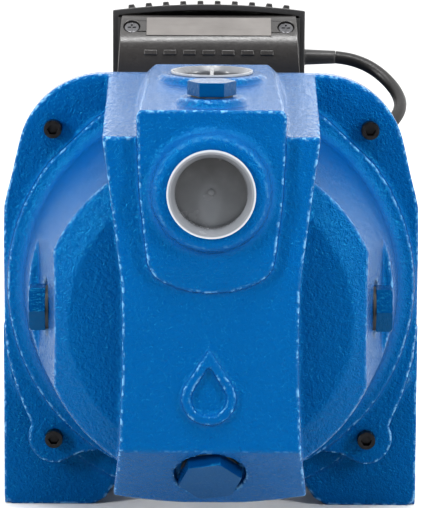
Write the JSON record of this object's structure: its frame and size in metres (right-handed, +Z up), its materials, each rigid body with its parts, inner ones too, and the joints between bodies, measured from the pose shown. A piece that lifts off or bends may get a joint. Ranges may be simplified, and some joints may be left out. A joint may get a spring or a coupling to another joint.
{
  "type": "self-priming jet pump",
  "caption": "Self-priming jet water pump: blue cast-iron casing with capped suction and discharge ports, hexagon plugs, footed bracket, finned fan-cooled motor, terminal box and mains cable.",
  "frame": {"origin": "midway between the two foot holes, on the base plane under the feet", "axes": "+Z up, -Y the way the suction port looks, +Y along the shaft to the fan, +X to the right seen from the suction end"},
  "size_m": [0.1896, 0.3797, 0.2256],
  "materials": {
    "casting_paint": "gloss enamel over cast iron, slight orange peel",
    "plug_paint": "gloss enamel over a hexagon-head plug",
    "black_steel": "blackened steel",
    "bright_steel": "bright steel",
    "seal_rubber": "moulded nitrile rubber",
    "ivory_plastic": "glass-filled moulded plastic",
    "cap_plastic": "translucent polyethylene",
    "impeller_brass": "cast brass",
    "lamination_steel": "stacked laminations",
    "cast_aluminium": "cast",
    "seal_carbon": "lapped carbon",
    "copper": "varnished winding",
    "black_plastic": "fine moulded texture",
    "grey_plastic": "satin moulded plastic",
    "fan_cover_paint": "satin black paint on pressed steel",
    "plate_foil": "brushed foil, blank",
    "white_plastic": "moulded plastic",
    "cable_rubber": "smooth cable sheath"
  },
  "bodies": {
    "frame": {"pump_casing": "casting_paint", "motor_bracket": "casting_paint", "casing_screws": "black_steel", "casing_o_ring": "seal_rubber", "ejector_nozzle": "ivory_plastic", "ejector_venturi": "ivory_plastic", "venturi_o_ring": "seal_rubber", "diffuser": "ivory_plastic", "seal_seat": "seal_carbon", "front_bearing_outer": "bright_steel", "rear_bearing_outer": "bright_steel", "wave_washer": "bright_steel", "motor_frame": "casting_paint", "stator_core": "lamination_steel", "stator_windings": "copper", "rear_end_shield": "casting_paint", "tie_rods": "bright_steel", "fan_cover": "fan_cover_paint", "fan_cover_screws": "bright_steel", "terminal_box": "black_plastic", "terminal_block": "white_plastic", "run_capacitor": "white_plastic", "strain_relief": "black_plastic", "power_cord": "cable_rubber", "cord_coil": "cable_rubber", "cord_tie": "white_plastic", "plug_lead": "cable_rubber", "power_plug": "cable_rubber"},
    "rotor": {"impeller": "impeller_brass", "impeller_key": "bright_steel", "impeller_nut": "bright_steel", "shaft": "bright_steel", "rotor_core": "lamination_steel", "rotor_end_rings": "cast_aluminium", "seal_head": "seal_carbon", "seal_spring": "bright_steel", "slinger": "seal_rubber", "front_bearing_inner": "bright_steel", "rear_bearing_inner": "bright_steel", "fan": "black_plastic"},
    "front_balls": {"front_bearing_balls": "bright_steel"},
    "rear_balls": {"rear_bearing_balls": "bright_steel"},
    "suction_cap": {"suction_cap": "cap_plastic"},
    "discharge_cap": {"discharge_cap": "cap_plastic"},
    "filling_plug": {"filling_plug": "plug_paint", "filling_plug_washer": "seal_rubber"},
    "drain_plug": {"drain_plug": "plug_paint", "drain_plug_washer": "seal_rubber"},
    "left_plug": {"left_plug": "plug_paint", "left_plug_washer": "seal_rubber"},
    "right_plug": {"right_plug": "plug_paint", "right_plug_washer": "seal_rubber"},
    "terminal_cover": {"terminal_cover": "grey_plastic", "rating_plate": "plate_foil", "cover_screws": "bright_steel", "cover_gasket": "seal_rubber"}
  },
  "joints": [
    {"name": "rotor_spin", "type": "hinge", "parent": "frame", "child": "rotor", "pos_m": [0, -0.045, 0.105], "axis": [0, 1, 0], "continuous": true},
    {"name": "front_balls_spin", "type": "hinge", "parent": "frame", "child": "front_balls", "pos_m": [0, -0.009, 0.105], "axis": [0, 1, 0], "continuous": true},
    {"name": "rear_balls_spin", "type": "hinge", "parent": "frame", "child": "rear_balls", "pos_m": [0, 0.151, 0.105], "axis": [0, 1, 0], "continuous": true},
    {"name": "suction_cap_pull", "type": "slide", "parent": "frame", "child": "suction_cap", "axis": [0, -1, 0], "range_m": [0, 0.06]},
    {"name": "discharge_cap_pull", "type": "slide", "parent": "frame", "child": "discharge_cap", "axis": [0, 0, 1], "range_m": [0, 0.06]},
    {"name": "filling_plug_out", "type": "slide", "parent": "frame", "child": "filling_plug", "axis": [0, 0, 1], "range_m": [0, 0.025]},
    {"name": "drain_plug_out", "type": "slide", "parent": "frame", "child": "drain_plug", "axis": [0, -0.7385, -0.6743], "range_m": [0, 0.025]},
    {"name": "left_plug_out", "type": "slide", "parent": "frame", "child": "left_plug", "axis": [-1, 0, 0], "range_m": [0, 0.025]},
    {"name": "right_plug_out", "type": "slide", "parent": "frame", "child": "right_plug", "axis": [1, 0, 0], "range_m": [0, 0.025]},
    {"name": "terminal_cover_lift", "type": "slide", "parent": "frame", "child": "terminal_cover", "axis": [0, 0, 1], "range_m": [0, 0.06]}
  ],
  "couplings": [
    {"joint": "front_balls_spin", "follows": "rotor_spin", "ratio": 0.384},
    {"joint": "rear_balls_spin", "follows": "rotor_spin", "ratio": 0.384}
  ]
}
